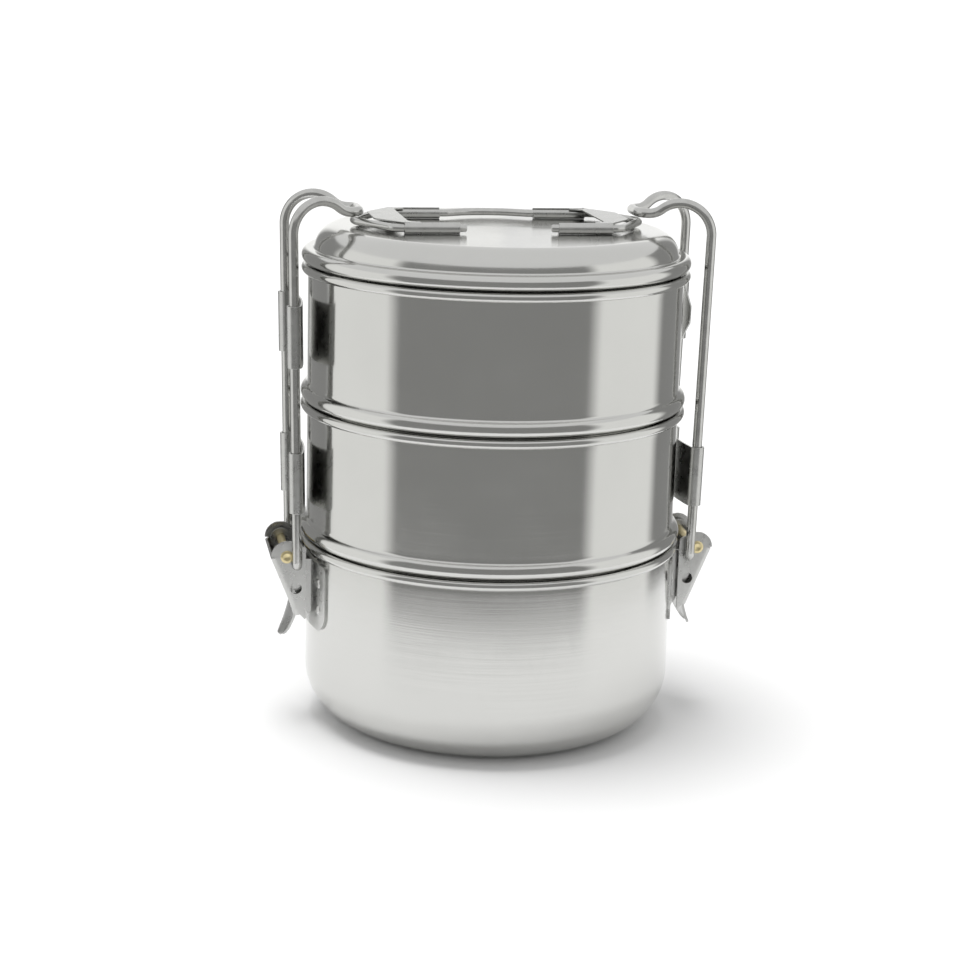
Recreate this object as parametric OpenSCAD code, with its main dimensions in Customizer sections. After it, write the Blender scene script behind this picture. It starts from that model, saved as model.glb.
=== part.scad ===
// Stacked food carrier: three steel bowls and a lid, held together by two wire arms,
// each drawn tight by an over-centre lever on the lowest bowl.
// Millimetres, +Z up, origin at the centre of the lowest bowl's underside.
// The arms stand on the X axis, so each lever opens away from the bowls along X.

/* [Bowls] */
// Outer radius of the straight bowl walls
wall_r = 69.6; // [66:0.2:72]
// Outer radius of the rolled rims and of the bulge above each one
bead_r = 72; // [70.4:0.2:74.4]
// Thickness of the steel sheet of the bowls and the lid
sheet = 0.6; // [0.5:0.1:0.9]
// Height of the lowest bowl up to its rim
base_h = 71.7; // [68:0.1:78]
// Height that each further bowl adds
tier_h = 51; // [47:0.5:56]
// Radius of the lowest bowl's rounded lower corner
corner_r = 20; // [12:1:24]
// How far a bowl's foot drops into the rim below it
plug_depth = 3.4; // [2:0.2:4]
// Outer radius of that foot
plug_r = 68; // [66:0.2:68.2]

/* [Lid] */
// Height of the lid's flat top above the rim it covers
lid_h = 14; // [13:0.5:17]
// Radius of the flat top
top_r = 58.5; // [54:0.5:58.5]
// Radius of the full curve from the flat top down the shoulder
shoulder_curve = 8.5; // [7:0.5:9.5]
// Height of the rounded flange round the lid's edge
flange_h = 5; // [4:0.2:6]

/* [Arms] */
// Diameter of the arm wire
arm_wire_d = 3.6; // [3:0.1:4]
// Distance between the two legs of an arm, centre to centre
leg_gap = 34.8; // [33:0.2:37]
// Radius of the arch over the lid's edge
arch_r = 11.5; // [10:0.5:12]
// Outward lean of each arm, in degrees
lean = 1; // [0:0.1:1.5]
// Length of the sheet clips that are rolled on to the legs
clip_h = 22.6; // [16:0.2:24]

/* [Levers] */
// Distance of the lever rivets from the centre line
rivet_x = 78.4; // [78.2:0.1:80]
// Height of the lever rivets above the ground
rivet_z = 67; // [66:0.1:68]
// Shank diameter of the lever rivets
rivet_d = 3.2; // [2.6:0.1:3.4]
// Thickness of the lever sheet
lever_t = 0.9; // [0.8:0.1:1.0]

/* [Handle] */
// Diameter of the handle wire
handle_wire_d = 2.8; // [2.2:0.1:2.8]
// Distance between the two straight sides of the handle wire
handle_gap = 46; // [44:0.5:48]
// Half of the gap between the handle's two tube pairs
handle_half_gap = 18; // [16:0.5:20]
// Length of the rolled tubes on the handle plates
tube_len = 20; // [16:0.5:21]

/* [Hidden] */
$fn = 96;
steel = [0.78, 0.79, 0.79];
dark_steel = [0.62, 0.63, 0.63];
brass = [0.72, 0.60, 0.32];

seat_gap = 0.3;
play = 0.06;
rim_r = 1.7;
arm_r = arm_wire_d / 2;
wire_r = handle_wire_d / 2;
leg_y = leg_gap / 2;
middle_z = base_h;
top_z = base_h + tier_h;
lid_z = base_h + 2 * tier_h;
plateau_z = lid_z + lid_h;

// Sheet-metal sections: a path of points is given a thickness on both sides.
function arc(cx, cz, r, a0, a1, n) =
    [for (i = [0 : n]) let (a = a0 + (a1 - a0) * i / n) [cx + r * cos(a), cz + r * sin(a)]];
function unit(v) = v / norm(v);
function left_of(v) = [-v[1], v[0]];
function heading(p, i) =
    i == 0 ? unit(p[1] - p[0]) :
    i == len(p) - 1 ? unit(p[i] - p[i - 1]) :
    unit(unit(p[i] - p[i - 1]) + unit(p[i + 1] - p[i]));
function half_turn(p, i) =
    i == 0 || i == len(p) - 1 ? 1 : heading(p, i) * unit(p[i] - p[i - 1]);
function side(p, d) =
    [for (i = [0 : len(p) - 1]) p[i] + left_of(heading(p, i)) * d / half_turn(p, i)];
function sheet_outline(p, t) =
    let (a = side(p, t / 2), b = side(p, -t / 2), n = len(p))
    concat(a, [for (i = [0 : n - 1]) b[n - 1 - i]]);

module turned(path, t) {
    rotate_extrude() polygon(sheet_outline(path, t));
}

// A wire is laid by runs and bends, each carrying on from the end of the last.
// A ball a hair wider than the wire joins each bend to what comes before it.
module ball(r) { sphere(r = r + 0.02); }
module run(r, length) {
    cylinder(r = r, h = length);
    translate([0, 0, length]) children();
}
module bend(r, radius, angle) {
    ball(r);
    translate([radius, 0, 0]) mirror([1, 0, 0]) rotate([90, 0, 0])
        rotate_extrude(angle = angle) translate([radius, 0]) circle(r);
    translate([radius, 0, 0]) rotate([0, angle, 0]) translate([-radius, 0, 0]) children();
}
// The same with a ball at its far end as well
module joined_bend(r, radius, angle) {
    bend(r, radius, angle) {
        ball(r);
        children();
    }
}

// ---- Bowls and lid ----
mid_r = wall_r - sheet / 2;
foot_r = plug_r - sheet / 2;
foot_corner = 3;
seat_z = seat_gap + sheet / 2;
bulge_r = 2.7;

module rim(rim_top) {
    rotate_extrude() translate([bead_r - rim_r, rim_top - rim_r]) circle(r = rim_r, $fn = 32);
}

module base_bowl() {
    path = concat(
        [[0, sheet / 2]],
        arc(mid_r - corner_r, corner_r + sheet / 2, corner_r, -90, 0, 14),
        [[mid_r, base_h - rim_r]]);
    color(steel) {
        turned(path, sheet);
        rim(base_h);
    }
}

module stacking_bowl(z) {
    path = concat(
        [[0, -plug_depth]],
        arc(foot_r - foot_corner, foot_corner - plug_depth, foot_corner, -90, 0, 6),
        [[foot_r, seat_z - 0.5], [foot_r + 0.5, seat_z]],
        arc(bead_r - bulge_r - sheet / 2, seat_z + bulge_r, bulge_r, -90, 55, 10),
        [[mid_r + 0.15, seat_z + 2 * bulge_r + 0.6], [mid_r, seat_z + 2 * bulge_r + 1.6]],
        [[mid_r, tier_h - rim_r]]);
    color(steel) translate([0, 0, z]) {
        turned(path, sheet);
        rim(tier_h);
    }
}
module middle_bowl() { stacking_bowl(middle_z); }
module top_bowl() { stacking_bowl(top_z); }

lid_foot_r = 67.4;
lid_foot_depth = 2.8;
module lid() {
    crown = lid_h - sheet / 2;
    flange_r = flange_h / 2 - sheet / 4;
    steep = 8;
    valley_r = 1.3;
    reach = shoulder_curve + valley_r;
    valley_x = top_r + reach * cos(steep);
    valley_z = crown - shoulder_curve + reach * sin(steep);
    path = concat(
        [[0, crown]],
        arc(top_r, crown - shoulder_curve, shoulder_curve, 90, steep, 10),
        arc(valley_x, valley_z, valley_r, 180 + steep, 262, 4),
        arc(bead_r - flange_r - sheet / 2, seat_z + flange_r, flange_r, 84, -90, 12),
        [[lid_foot_r + 0.5, seat_z], [lid_foot_r, seat_z - 0.5], [lid_foot_r, -lid_foot_depth]]);
    color(steel) translate([0, 0, lid_z]) turned(path, sheet);
}

// ---- Lever side: every module below is drawn for the right, +X, and mirrored for the left ----
module on_left() { mirror([1, 0, 0]) children(); }

cheek_y = 14.9;
ear_y = 12.4;
ear_t = 0.8;
head_r = 2.4;
head_t = 0.4;
head_gap = 0.08;
plate_y = 26;
plate_low = 40;
plate_high = 65.5;
plate_t = 0.8;

// Outline seen along Y: a strip from the wall out to the rivet
module ear_outline() {
    translate([rivet_x, rivet_z]) circle(r = 4, $fn = 48);
    polygon([[68.5, 46], [70.4, 44], [rivet_x + 3.4, rivet_z - 2.1], [rivet_x - 3.4, rivet_z + 2.1],
             [rivet_x - 4.6, 65.5], [68.5, 65.5]]);
}
module bracket() {
    corner = 6;
    color(steel) {
        intersection() {
            rotate_extrude() translate([wall_r, plate_low]) square([plate_t, plate_high - plate_low]);
            rotate([90, 0, 90]) linear_extrude(height = 90) polygon(concat(
                [[plate_y, plate_high], [-plate_y, plate_high]],
                arc(corner - plate_y, plate_low + corner, corner, 180, 270, 6),
                arc(plate_y - corner, plate_low + corner, corner, 270, 360, 6)));
        }
        for (s = [0, 1]) mirror([0, s, 0])
            translate([0, ear_y, 0]) rotate([90, 0, 0]) linear_extrude(height = ear_t)
                difference() {
                    ear_outline();
                    translate([rivet_x, rivet_z]) circle(d = rivet_d + 2 * play);
                    inside_wall();
                }
    }
}
// What the bowl's wall leaves no room for on the inner edge of the ears
module inside_wall() {
    inner_y = ear_y - ear_t;
    square([sqrt(wall_r * wall_r - inner_y * inner_y) + 0.05, plate_high]);
}
module bracket_right() { bracket(); }
module bracket_left() { on_left() bracket(); }

// Round spot-weld studs that stand a little proud of the bracket plates
stud_r = 1.9;
stud_h = 0.5;
stud_gap = 0.04;
stud_y = 20;
module weld_studs() {
    stud_angle = asin(stud_y / wall_r);
    color(dark_steel) for (flip = [0, 1]) mirror([flip, 0, 0])
        for (a = [-stud_angle, stud_angle], z = [plate_low + 8, plate_low + 18])
            rotate([0, 0, a]) translate([wall_r + plate_t + stud_gap, 0, z]) rotate([0, 90, 0])
                cylinder(r1 = stud_r, r2 = stud_r * 0.6, h = stud_h);
}

module rivet() {
    color(brass) translate([rivet_x, 0, rivet_z]) rotate([90, 0, 0]) {
        cylinder(d = rivet_d, h = 2 * (cheek_y + head_gap + head_t), center = true);
        for (s = [-1, 1])
            translate([0, 0, s * (cheek_y + head_gap + head_t / 2)])
                cylinder(r = head_r, h = head_t, center = true);
    }
}
module rivet_right() { rivet(); }
module rivet_left() { on_left() rivet(); }

// Thin washers between the ears and the lever's cheeks
module lever_washers() {
    washer_t = 0.8;
    color(brass) for (flip = [0, 1], s = [-1, 1])
        mirror([flip, 0, 0])
            translate([rivet_x, s * (ear_y + 0.1 + washer_t / 2), rivet_z]) rotate([90, 0, 0])
                difference() {
                    cylinder(r = 2.6, h = washer_t, center = true);
                    cylinder(d = rivet_d + 2 * play, h = 2, center = true);
                }
}

// Arm pivot and spare hole, seen from the rivet: outward, up
pivot = [-3.6, -3.3];
spare = [-3.4, -12.2];
pivot_x = rivet_x + pivot[0];
pivot_z = rivet_z + pivot[1];
cheek_low = -24.5;

module cheek_outline() {
    polygon(concat(
        arc(0, 0, 5.9, -8, 120, 10),
        arc(-5.2, 2.2, 1.8, 110, 180, 4),
        [[-7, cheek_low], [-3.2, cheek_low + 1.5]]));
}
module lever() {
    tip = [2.2, -34.5];
    heel = [-3.2, cheek_low + 1.5];
    web_top = [5.84, -0.82];
    along = unit(heel - web_top);
    color(steel) translate([rivet_x, 0, rivet_z]) {
        for (s = [0, 1]) mirror([0, s, 0])
            translate([0, cheek_y, 0]) rotate([90, 0, 0]) linear_extrude(height = lever_t)
                difference() {
                    cheek_outline();
                    circle(d = rivet_d + 2 * play);
                    translate(pivot) circle(r = arm_r + play);
                    translate(spare) circle(r = 2.1);
                }
        rotate([90, 0, 0]) linear_extrude(height = 2 * cheek_y, center = true)
            polygon(concat([web_top, heel, heel + left_of(along) * -lever_t,
                            web_top + left_of(along) * -lever_t]));
        rotate([90, 0, 0]) linear_extrude(height = 24, center = true)
            polygon(sheet_outline(concat(
                [heel + [-0.35, 0.6]],
                [heel + [0.2, -1.4], heel + [1.1, -4], heel + [2.6, -7.2], tip]), lever_t));
    }
}
module lever_right() { lever(); }
module lever_left() { on_left() lever(); }

// ---- Arms ----
elbow_r = 2;
pin_end = 12.9;
leg_top = lid_z + 12.6 - pivot_z;
taper = 22.6;
rise_turn = 130;
tip_bend = 7.7;
nose_bend = 5;
arch_span = arch_r * (1 + cos(180 - rise_turn)) + tip_bend * sin(rise_turn - 90);
nose_y = leg_y - arch_span * sin(taper) - nose_bend * cos(taper);

// Frame at the arm pivot, turned by the lean: +X points to the bowls, Z runs up the legs
module at_arm() {
    translate([pivot_x, 0, pivot_z]) rotate([0, lean, 0]) mirror([1, 0, 0]) children();
}
module half_arm(closing) {
    translate([0, -pin_end, 0]) rotate([90, 0, 0]) rotate([0, 0, 90])
        run(arm_r, leg_y - elbow_r - pin_end)
        bend(arm_r, elbow_r, 90)
        run(arm_r, leg_top - elbow_r)
        rotate([0, 0, taper - 90]) bend(arm_r, arch_r, rise_turn)
        rotate([0, 0, 180]) bend(arm_r, tip_bend, rise_turn - 90)
        rotate([0, 0, -90]) bend(arm_r, nose_bend, 90 - taper) {
            ball(arm_r);
            if (closing) run(arm_r, 2 * nose_y);
        }
}
module arm() {
    color(steel) at_arm() {
        half_arm(true);
        mirror([0, 1, 0]) half_arm(false);
    }
}
module arm_right() { arm(); }
module arm_left() { on_left() arm(); }

// ---- Clips: sheet rolled round each leg, with a bowed web between them ----
clip_t = 0.7;
clip_in = arm_r + 0.25;
clip_lower = 84.5 - 63.7;
clip_upper = 138.5 - 63.7;
clip_bow = 1.6;
roll_mid = clip_in + clip_t / 2;

module roll(h) {
    rotate([0, 0, 60]) rotate_extrude(angle = 300) translate([clip_in, 0]) square([clip_t, h]);
}
module web(h, y0, y1) {
    pts = [for (i = [0 : 10]) let (y = y0 + (y1 - y0) * i / 10)
           [roll_mid + clip_bow * (1 - pow(y / leg_y, 2)), y]];
    linear_extrude(height = h) polygon(sheet_outline(pts, clip_t));
}
module clip(low) {
    color(steel) at_arm() translate([0, 0, low]) {
        translate([0, -leg_y, 0]) mirror([0, 1, 0]) roll(clip_h);
        translate([0, leg_y, 0]) roll(clip_h);
        web(clip_h, -leg_y, leg_y);
    }
}
module clip_right_lower() { clip(clip_lower); }
module clip_left_lower() { on_left() clip(clip_lower); }
module clip_left_upper() { on_left() clip(clip_upper); }

// The fourth clip holds the rear leg alone: its web ends in a free tongue, cut on the slant
module clip_right_upper() {
    color(steel) at_arm() translate([0, 0, clip_upper + 4]) {
        translate([0, leg_y, 0]) roll(clip_h);
        intersection() {
            web(clip_h, -9, leg_y);
            rotate([90, 0, 90]) linear_extrude(height = 12)
                polygon([[-9, 10], [-9, clip_h - 6], [-2, clip_h], [leg_y + 4, clip_h],
                         [leg_y + 4, 0], [2, 0]]);
        }
    }
}

// ---- Handle on the lid ----
handle_y = handle_gap / 2;
tube_in = wire_r + 0.05;
tube_t = 0.6;
tube_out = tube_in + tube_t;
tube_gap = 0.04;
handle_z = plateau_z + tube_out + tube_gap;
tube_start = handle_half_gap + tube_len;
stub = 2.5;
slant_x = 38.5;
slant = 60;
slant_bend = 5;
nose_turn_r = 9;
slant_run = (handle_y - slant_bend * (1 - cos(slant)) - nose_turn_r * cos(slant)) / sin(slant);
grip_turn = 28;
grip_small = 6;
grip_run = 2;
grip_large = (2 * (handle_half_gap - 1) - 2 * grip_small * sin(grip_turn) - 2 * grip_run * cos(grip_turn))
             / (2 * sin(grip_turn));

module half_handle(closing) {
    translate([handle_half_gap - stub, -handle_y, handle_z]) rotate([0, 90, 0])
        run(wire_r, slant_x - handle_half_gap + stub)
        rotate([0, 0, 90]) joined_bend(wire_r, slant_bend, slant)
        run(wire_r, slant_run)
        joined_bend(wire_r, nose_turn_r, 180 - 2 * slant)
        run(wire_r, slant_run)
        joined_bend(wire_r, slant_bend, slant)
        run(wire_r, slant_x - handle_half_gap + 1)
        rotate([0, 0, 180]) bend(wire_r, grip_small, grip_turn) {
            ball(wire_r);
            run(wire_r, grip_run) grip_middle(closing);
        }
}
module grip_middle(whole) {
    ball(wire_r);
    if (whole) rotate([0, 0, 180]) bend(wire_r, grip_large, 2 * grip_turn);
}
module handle_wire() {
    color(steel) {
        half_handle(true);
        mirror([1, 0, 0]) half_handle(false);
    }
}

plate_out_x = 47.2;
plate_in_x = 36;
plate_end_y = 13;
plate_top = handle_z + tube_out;
module handle_plate() {
    corner = 4;
    color(steel) {
        for (s = [-1, 1]) translate([handle_half_gap, s * handle_y, handle_z]) rotate([0, 90, 0])
            difference() {
                cylinder(r = tube_out, h = tube_len);
                translate([0, 0, -1]) cylinder(r = tube_in, h = tube_len + 2);
            }
        translate([0, 0, plate_top - tube_t]) linear_extrude(height = tube_t) polygon(concat(
            [[plate_in_x - 4, handle_y], [plate_in_x - 4, handle_y - 3.2], [plate_in_x, handle_y - 6]],
            [[plate_in_x, 6 - handle_y], [plate_in_x - 4, 3.2 - handle_y], [plate_in_x - 4, -handle_y]],
            [[tube_start, -handle_y]],
            arc(plate_out_x - corner, corner - plate_end_y, corner, -30, 0, 3),
            arc(plate_out_x - corner, plate_end_y - corner, corner, 0, 30, 3),
            [[tube_start, handle_y]]));
    }
}
module handle_plate_right() { handle_plate(); }
module handle_plate_left() { on_left() handle_plate(); }

base_bowl();
middle_bowl();
top_bowl();
lid();
bracket_left();
bracket_right();
rivet_left();
rivet_right();
lever_left();
lever_right();
arm_left();
arm_right();
clip_left_upper();
clip_left_lower();
clip_right_upper();
clip_right_lower();
handle_plate_left();
handle_plate_right();
handle_wire();
weld_studs();
lever_washers();
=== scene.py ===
"""Stacked steel food carrier: three bowls and a lid held by two wire arms and over-centre levers."""
import math

import bmesh
import bpy
from bpy.props import FloatProperty, FloatVectorProperty, IntProperty, PointerProperty
from mathutils import Matrix, Vector
from mathutils.geometry import tessellate_polygon


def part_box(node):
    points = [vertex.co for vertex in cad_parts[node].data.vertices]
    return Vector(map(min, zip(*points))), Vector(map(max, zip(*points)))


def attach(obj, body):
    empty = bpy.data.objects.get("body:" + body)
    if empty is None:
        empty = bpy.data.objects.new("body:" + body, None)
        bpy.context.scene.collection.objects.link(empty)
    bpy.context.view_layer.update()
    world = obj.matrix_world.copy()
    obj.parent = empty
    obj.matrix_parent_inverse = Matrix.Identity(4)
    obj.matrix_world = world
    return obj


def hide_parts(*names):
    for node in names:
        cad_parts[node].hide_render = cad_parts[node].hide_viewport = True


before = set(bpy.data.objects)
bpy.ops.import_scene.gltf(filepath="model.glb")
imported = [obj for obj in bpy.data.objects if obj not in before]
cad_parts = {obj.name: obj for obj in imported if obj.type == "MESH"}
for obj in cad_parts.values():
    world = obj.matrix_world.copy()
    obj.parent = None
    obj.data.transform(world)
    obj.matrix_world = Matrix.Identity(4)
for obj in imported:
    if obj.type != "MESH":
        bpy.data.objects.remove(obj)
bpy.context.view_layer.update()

bl_info = {
    "name": "Steel food carrier",
    "version": (1, 0, 0),
    "blender": (4, 5, 0),
    "location": "3D View > Sidebar > Carrier",
    "description": "Builds the visible pieces of a stacked steel food carrier round its fixed frame",
    "category": "Object",
}

MM = 0.001
RIVET_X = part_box("rivet_right")[0].x / 2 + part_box("rivet_right")[1].x / 2
RIVET_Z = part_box("rivet_right")[0].z / 2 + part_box("rivet_right")[1].z / 2
RIM_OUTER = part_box("base_bowl")[1].x
BASE_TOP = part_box("base_bowl")[1].z
MIDDLE_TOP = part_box("middle_bowl")[1].z
TOP_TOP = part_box("top_bowl")[1].z
LID_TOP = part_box("lid")[1].z
SIDES = {"right": 1, "left": -1}


# ---- Sizes and finishes that a user would change ----

def length(name, text, default):
    return FloatProperty(name=name, description=text, default=default, unit="LENGTH", precision=5)


def share(name, text, default):
    return FloatProperty(name=name, description=text, default=default, min=0, max=1, subtype="FACTOR")


def tint(name, text, default):
    return FloatVectorProperty(name=name, description=text, default=default, size=3, min=0, max=1,
                               subtype="COLOR")


class CarrierSizes(bpy.types.PropertyGroup):
    """Sizes of the sheet and wire pieces"""

    wall: length("Wall radius", "Outer radius of the straight bowl walls", 69.6 * MM)
    sheet: length("Bowl sheet", "Thickness of the steel of the bowls and the lid", 0.6 * MM)
    rim: length("Rim radius", "Radius of the rolled bead at each bowl's rim", 1.7 * MM)
    bulge: length("Bulge radius", "Radius of the bulge above each seat", 2.7 * MM)
    corner: length("Corner radius", "Radius of the lowest bowl's rounded foot", 20 * MM)
    seat: length("Seat gap", "Clear space between a rim and the piece that sits on it", 0.3 * MM)
    plug: length("Foot radius", "Outer radius of the foot that drops into the rim below", 68 * MM)
    plug_depth: length("Foot depth", "How far that foot drops into the rim below", 3.4 * MM)
    arm_wire: length("Arm wire", "Radius of the arm wire", 1.8 * MM)
    handle_wire: length("Handle wire", "Radius of the handle wire", 1.4 * MM)
    lever_sheet: length("Lever sheet", "Thickness of the lever's sheet", 0.9 * MM)
    clip_sheet: length("Clip sheet", "Thickness of the rolled clips", 0.7 * MM)
    turns: IntProperty(name="Turned steps", description="Steps round each turned shape", default=176, min=24)


class CarrierFinishes(bpy.types.PropertyGroup):
    """Colours and gloss of the metals"""

    steel: tint("Steel", "Colour of the polished bowls and the lid", (0.640, 0.640, 0.622))
    wire: tint("Wire", "Colour of the bright drawn wire", (0.600, 0.600, 0.585))
    pressed: tint("Pressed sheet", "Colour of the satin pressed pieces", (0.590, 0.592, 0.578))
    brass: tint("Brass", "Colour of the rivets", (0.640, 0.520, 0.290))
    polish: share("Polish", "Roughness of the polished walls", 0.13)
    satin: share("Satin", "Roughness of the lowest bowl", 0.15)


class CarrierStudio(bpy.types.PropertyGroup):
    """Camera and light"""

    lens: FloatProperty(name="Lens", description="Focal length", default=79.3, unit="CAMERA")
    backdrop: share("Backdrop", "Brightness of the surroundings as the camera sees them", 1.0)
    sky: share("Sky", "Brightness of the surroundings as a light", 0.84)
    sun: FloatProperty(name="Sun", description="Strength of the light from the left", default=2.2, min=0)
    ring_radius: length("Card ring", "Radius of the ring of cards that the walls mirror", 0.24)
    ring_height: length("Card height", "Height of that ring", 0.28)


# ---- Shapes ----

def arc(cx, cz, radius, first, last, count):
    """Points on a circle, from the first to the last angle in degrees."""
    angles = [math.radians(first + (last - first) * i / count) for i in range(count + 1)]
    return [(cx + radius * math.cos(a), cz + radius * math.sin(a)) for a in angles]


def link(mesh, name, materials):
    """A new object at the origin, with its faces smooth."""
    piece = bpy.data.objects.new(name, mesh)
    bpy.context.scene.collection.objects.link(piece)
    for material in materials:
        mesh.materials.append(material)
    mesh.shade_smooth()
    return piece


def mesh_of(bm, name, clean=0.00001):
    """A mesh of the bmesh, with its doubles merged."""
    bmesh.ops.remove_doubles(bm, verts=bm.verts, dist=clean)
    mesh = bpy.data.meshes.new(name)
    bm.to_mesh(mesh)
    bm.free()
    return mesh


def even_shading(piece):
    """Large flat faces keep their own shading beside small rounded ones."""
    weighted = piece.modifiers.new("even_shading", "WEIGHTED_NORMAL")
    weighted.weight = 80
    weighted.keep_sharp = True


def turned(name, profile, steps, thickness, material):
    """A profile of (radius, height) points, from top to bottom, turned round Z."""
    bm = bmesh.new()
    verts = [bm.verts.new((r, 0, z)) for r, z in profile]
    for above, below in zip(verts, verts[1:]):
        bm.edges.new((above, below))
    piece = link(mesh_of(bm, name, 0.000001), name, [material])
    screw = piece.modifiers.new("turn", "SCREW")
    screw.steps = steps
    screw.render_steps = steps
    screw.use_merge_vertices = True
    screw.merge_threshold = 0.00001
    if thickness:
        thick(piece, thickness)
    even_shading(piece)
    return piece


def thick(piece, thickness):
    solid = piece.modifiers.new("sheet", "SOLIDIFY")
    solid.thickness = thickness
    solid.offset = 0
    solid.use_even_offset = True


def rounded(piece, width, segments=2, limit=50):
    bevel = piece.modifiers.new("edges", "BEVEL")
    bevel.width = width
    bevel.segments = segments
    bevel.limit_method = "ANGLE"
    bevel.angle_limit = math.radians(limit)
    bevel.use_clamp_overlap = True


def strip(bm, rows):
    """Quads between rows of points; every row has the same number of points."""
    grid = [[bm.verts.new(p) for p in row] for row in rows]
    for one, two in zip(grid, grid[1:]):
        for a, b, c, d in zip(one, one[1:], two[1:], two):
            bm.faces.new((a, b, c, d))


def plate(bm, outline, holes, place):
    """A flat sheet with round holes; place turns its two coordinates into a point."""
    loops = [outline] + [arc(x, y, r, 0, 360 - 360 / 28, 27) for x, y, r in holes]
    flat = [[Vector((x, y, 0)) for x, y in loop] for loop in loops]
    verts = [bm.verts.new(place(p.x, p.y)) for loop in flat for p in loop]
    for triangle in tessellate_polygon(flat):
        bm.faces.new([verts[i] for i in triangle])


def place_on(bm, matrix):
    bmesh.ops.transform(bm, matrix=matrix, verts=bm.verts)


def facing_out(bm):
    bmesh.ops.remove_doubles(bm, verts=bm.verts, dist=0.00001)
    bmesh.ops.recalc_face_normals(bm, faces=bm.faces)


def finished(piece, body, slot, *nodes):
    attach(piece, body)
    if nodes:
        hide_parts(*nodes)


def walk(start, steps):
    """Centre line of a bent wire: runs, turns about its own line, and bends of a radius and an angle."""
    place = start.copy()
    points = [place.translation.copy()]
    for kind, *values in steps:
        if kind == "run":
            place = place @ Matrix.Translation((0, 0, values[0]))
            points.append(place.translation.copy())
        elif kind == "turn":
            place = place @ Matrix.Rotation(math.radians(values[0]), 4, "Z")
        else:
            radius, degrees = values
            hub = place @ Matrix.Translation((radius, 0, 0))
            back = Matrix.Translation((-radius, 0, 0))
            count = max(5, round(degrees / 5))
            for i in range(1, count + 1):
                turn = Matrix.Rotation(math.radians(degrees) * i / count, 4, "Y")
                points.append((hub @ turn @ back).translation.copy())
            place = hub @ turn @ back
    return points


def wire(name, points, radius, material):
    """A round wire along the points, its ends slightly chamfered."""
    curve = bpy.data.curves.new(name, "CURVE")
    curve.dimensions = "3D"
    curve.bevel_depth = radius
    curve.bevel_resolution = 6
    curve.use_fill_caps = True
    chamfer = radius * 0.3
    first = points[0] + (points[1] - points[0]).normalized() * chamfer
    last = points[-1] + (points[-2] - points[-1]).normalized() * chamfer
    route = [points[0], first] + points[1:-1] + [last, points[-1]]
    spline = curve.splines.new("POLY")
    spline.points.add(len(route) - 1)
    for point, place in zip(spline.points, route):
        point.co = (*place, 1)
        point.radius = 1
    spline.points[0].radius = 0.72
    spline.points[-1].radius = 0.72
    spline.use_smooth = True
    piece = bpy.data.objects.new(name, curve)
    bpy.context.scene.collection.objects.link(piece)
    curve.materials.append(material)
    return piece


# ---- Materials ----

def new_group(name, inputs, outputs):
    group = bpy.data.node_groups.new(name, "ShaderNodeTree")
    for label, value in inputs:
        group.interface.new_socket(label, in_out="INPUT", socket_type="NodeSocketFloat").default_value = value
    for label in outputs:
        group.interface.new_socket(label, in_out="OUTPUT", socket_type="NodeSocketFloat")
    return group, group.nodes.new("NodeGroupInput"), group.nodes.new("NodeGroupOutput")


def math_node(tree, operation, *values):
    node = tree.nodes.new("ShaderNodeMath")
    node.operation = operation
    for socket, value in zip(node.inputs, values):
        if hasattr(value, "is_linked"):
            tree.links.new(value, socket)
        else:
            socket.default_value = value
    return node.outputs[0]


def spun_lines():
    """Fine lines that run round the axis, as spinning and polishing leave them."""
    if "spun_lines" in bpy.data.node_groups:
        return bpy.data.node_groups["spun_lines"]
    group, given, out = new_group("spun_lines", [("Fineness", 3000), ("Drift", 1.5)], ["Lines"])
    place = group.nodes.new("ShaderNodeTexCoord").outputs["Object"]
    split = group.nodes.new("ShaderNodeSeparateXYZ")
    group.links.new(place, split.inputs[0])
    x, y, z = split.outputs
    radius = math_node(group, "SQRT", math_node(group, "ADD", math_node(group, "MULTIPLY", x, x),
                                                math_node(group, "MULTIPLY", y, y)))
    safe = math_node(group, "MAXIMUM", radius, 0.001)
    around = group.nodes.new("ShaderNodeCombineXYZ")
    group.links.new(math_node(group, "MULTIPLY", radius, given.outputs["Fineness"]), around.inputs[0])
    group.links.new(math_node(group, "MULTIPLY", z, given.outputs["Fineness"]), around.inputs[1])
    cosine = math_node(group, "DIVIDE", x, safe)
    sine = math_node(group, "DIVIDE", y, safe)
    group.links.new(math_node(group, "MULTIPLY", cosine, given.outputs["Drift"]), around.inputs[2])
    noise = group.nodes.new("ShaderNodeTexNoise")
    noise.noise_dimensions = "4D"
    noise.inputs["Scale"].default_value = 1
    noise.inputs["Detail"].default_value = 2
    group.links.new(around.outputs[0], noise.inputs["Vector"])
    group.links.new(math_node(group, "MULTIPLY", sine, given.outputs["Drift"]), noise.inputs["W"])
    group.links.new(noise.outputs["Fac"], out.inputs["Lines"])
    return group


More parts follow.
